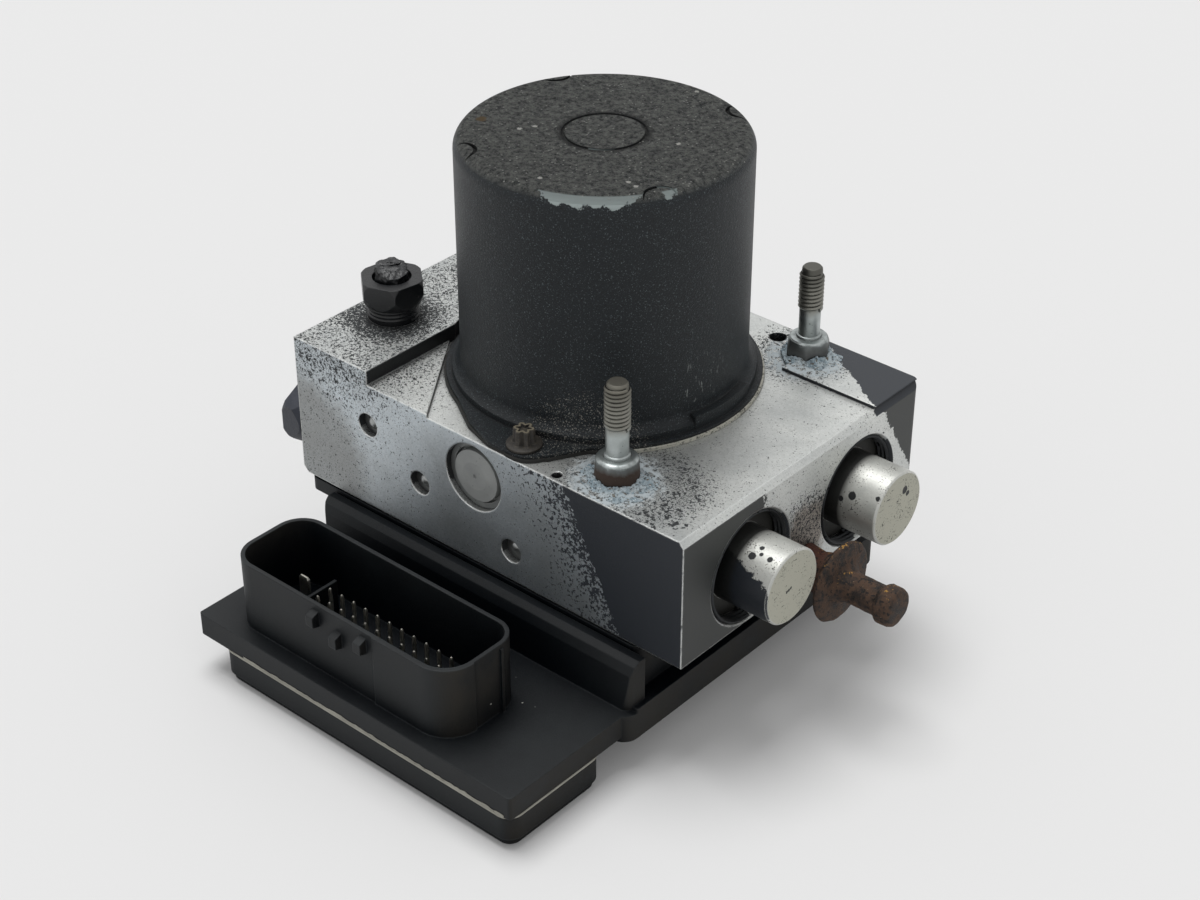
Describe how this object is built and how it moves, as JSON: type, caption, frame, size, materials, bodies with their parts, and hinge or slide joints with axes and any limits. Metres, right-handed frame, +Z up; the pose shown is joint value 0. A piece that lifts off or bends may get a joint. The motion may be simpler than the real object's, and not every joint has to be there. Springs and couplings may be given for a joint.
{
  "type": "anti-lock brake module",
  "caption": "Vehicle anti-lock brake module: drilled valve block with a round pump motor on top and a sealed control unit with a pin connector below.",
  "frame": {"origin": "where the motor's axis meets the plane of the bottom cover's underside", "axes": "+Z up along the motor and the mounting studs; -Y towards the connector; +X towards the two large accumulator caps and the rusty pin"},
  "size_m": [0.1526, 0.1285, 0.1205],
  "materials": {
    "block_alloy": "bead-rolled, worn and dirty",
    "motor_paint": "fine textured, matt",
    "pale_seal": "matt",
    "dusty_steel": "dusty",
    "plated_steel": "zinc plated, stained",
    "rusty_steel": "rusty",
    "cap_alloy": "turned, scratched",
    "bright_steel": "satin",
    "dark_steel": "blackened",
    "spring_steel": "drawn wire",
    "black_coating": "black, dusty",
    "blue_coating": "blue-black",
    "magnet": "matt",
    "copper": "enamelled",
    "carbon": "matt",
    "pale_plastic": "moulded",
    "black_plastic": "moulded, dusty",
    "tinned_brass": "tinned",
    "board": "lacquered",
    "black_rubber": "matt"
  },
  "bodies": {
    "module": {"valve_block": "block_alloy", "motor_housing": "motor_paint", "motor_gasket": "pale_seal", "motor_screws": "dusty_steel", "mounting_stud_front": "plated_steel", "mounting_stud_rear": "plated_steel", "mounting_pin": "rusty_steel", "accumulator_cap_front": "cap_alloy", "accumulator_cap_rear": "cap_alloy", "accumulator_spring_front": "spring_steel", "accumulator_spring_rear": "spring_steel", "pump_caps": "bright_steel", "retaining_rings": "dark_steel", "pump_sleeves": "bright_steel", "pump_spring_front": "spring_steel", "pump_spring_rear": "spring_steel", "ball_plugs": "bright_steel", "pipe_nut_top": "black_coating", "pipe_stub_top": "black_coating", "pipe_nut_side": "blue_coating", "pipe_stub_side": "blue_coating", "motor_magnets": "magnet", "bearing_upper": "bright_steel", "bearing_middle": "bright_steel", "bearing_lower": "bright_steel", "brush_plate": "pale_plastic", "brushes": "carbon", "brush_springs": "spring_steel", "motor_terminal": "pale_plastic", "inlet_valves": "bright_steel", "outlet_valves": "bright_steel", "valve_coils": "copper", "ecu_housing": "black_plastic", "connector_pins": "tinned_brass", "power_blades": "tinned_brass", "circuit_board": "board", "ecu_cover": "black_plastic", "cover_seal": "pale_seal", "ecu_screws": "dark_steel", "block_seal": "black_rubber"},
    "rotor": {"motor_shaft": "bright_steel", "armature_core": "bright_steel", "armature_windings": "copper", "commutator": "copper"},
    "cam": {"cam_ring": "bright_steel", "cam_needles": "bright_steel"},
    "accumulator_piston_front_body": {"accumulator_piston_front": "cap_alloy"},
    "accumulator_piston_rear_body": {"accumulator_piston_rear": "cap_alloy"},
    "pump_piston_front_body": {"pump_piston_front": "bright_steel"},
    "pump_piston_rear_body": {"pump_piston_rear": "bright_steel"},
    "inlet_plunger_1_body": {"inlet_plunger_1": "bright_steel"},
    "inlet_plunger_2_body": {"inlet_plunger_2": "bright_steel"},
    "inlet_plunger_3_body": {"inlet_plunger_3": "bright_steel"},
    "inlet_plunger_4_body": {"inlet_plunger_4": "bright_steel"},
    "outlet_plunger_1_body": {"outlet_plunger_1": "bright_steel"},
    "outlet_plunger_2_body": {"outlet_plunger_2": "bright_steel"},
    "outlet_plunger_3_body": {"outlet_plunger_3": "bright_steel"},
    "outlet_plunger_4_body": {"outlet_plunger_4": "bright_steel"}
  },
  "joints": [
    {"name": "rotor_spin", "type": "hinge", "parent": "module", "child": "rotor", "pos_m": [0, 0, 0.09], "axis": [0, 0, 1], "continuous": true},
    {"name": "cam_ring_spin", "type": "hinge", "parent": "rotor", "child": "cam", "pos_m": [0.0012, 0, 0.0512], "axis": [0, 0, 1], "continuous": true},
    {"name": "pump_front_stroke", "type": "slide", "parent": "module", "child": "pump_piston_front_body", "axis": [0, -1, 0], "range_m": [0, 0.0024], "stiffness_N_per_m": 300, "springref_m": -0.004, "deforming": ["pump_spring_front"]},
    {"name": "pump_rear_stroke", "type": "slide", "parent": "module", "child": "pump_piston_rear_body", "axis": [0, 1, 0], "range_m": [0, 0.0024], "stiffness_N_per_m": 300, "springref_m": -0.004, "deforming": ["pump_spring_rear"]},
    {"name": "accumulator_front_stroke", "type": "slide", "parent": "module", "child": "accumulator_piston_front_body", "axis": [1, 0, 0], "range_m": [0, 0.0045], "stiffness_N_per_m": 400, "springref_m": -0.004, "deforming": ["accumulator_spring_front"]},
    {"name": "accumulator_rear_stroke", "type": "slide", "parent": "module", "child": "accumulator_piston_rear_body", "axis": [1, 0, 0], "range_m": [0, 0.0045], "stiffness_N_per_m": 400, "springref_m": -0.004, "deforming": ["accumulator_spring_rear"]},
    {"name": "inlet_1_stroke", "type": "slide", "parent": "module", "child": "inlet_plunger_1_body", "axis": [0, 0, 1], "range_m": [0, 0.00035], "stiffness_N_per_m": 200, "springref_m": -0.002},
    {"name": "inlet_2_stroke", "type": "slide", "parent": "module", "child": "inlet_plunger_2_body", "axis": [0, 0, 1], "range_m": [0, 0.00035], "stiffness_N_per_m": 200, "springref_m": -0.002},
    {"name": "inlet_3_stroke", "type": "slide", "parent": "module", "child": "inlet_plunger_3_body", "axis": [0, 0, 1], "range_m": [0, 0.00035], "stiffness_N_per_m": 200, "springref_m": -0.002},
    {"name": "inlet_4_stroke", "type": "slide", "parent": "module", "child": "inlet_plunger_4_body", "axis": [0, 0, 1], "range_m": [0, 0.00035], "stiffness_N_per_m": 200, "springref_m": -0.002},
    {"name": "outlet_1_stroke", "type": "slide", "parent": "module", "child": "outlet_plunger_1_body", "axis": [0, 0, -1], "range_m": [0, 0.00035], "stiffness_N_per_m": 200, "springref_m": -0.002},
    {"name": "outlet_2_stroke", "type": "slide", "parent": "module", "child": "outlet_plunger_2_body", "axis": [0, 0, -1], "range_m": [0, 0.00035], "stiffness_N_per_m": 200, "springref_m": -0.002},
    {"name": "outlet_3_stroke", "type": "slide", "parent": "module", "child": "outlet_plunger_3_body", "axis": [0, 0, -1], "range_m": [0, 0.00035], "stiffness_N_per_m": 200, "springref_m": -0.002},
    {"name": "outlet_4_stroke", "type": "slide", "parent": "module", "child": "outlet_plunger_4_body", "axis": [0, 0, -1], "range_m": [0, 0.00035], "stiffness_N_per_m": 200, "springref_m": -0.002}
  ]
}
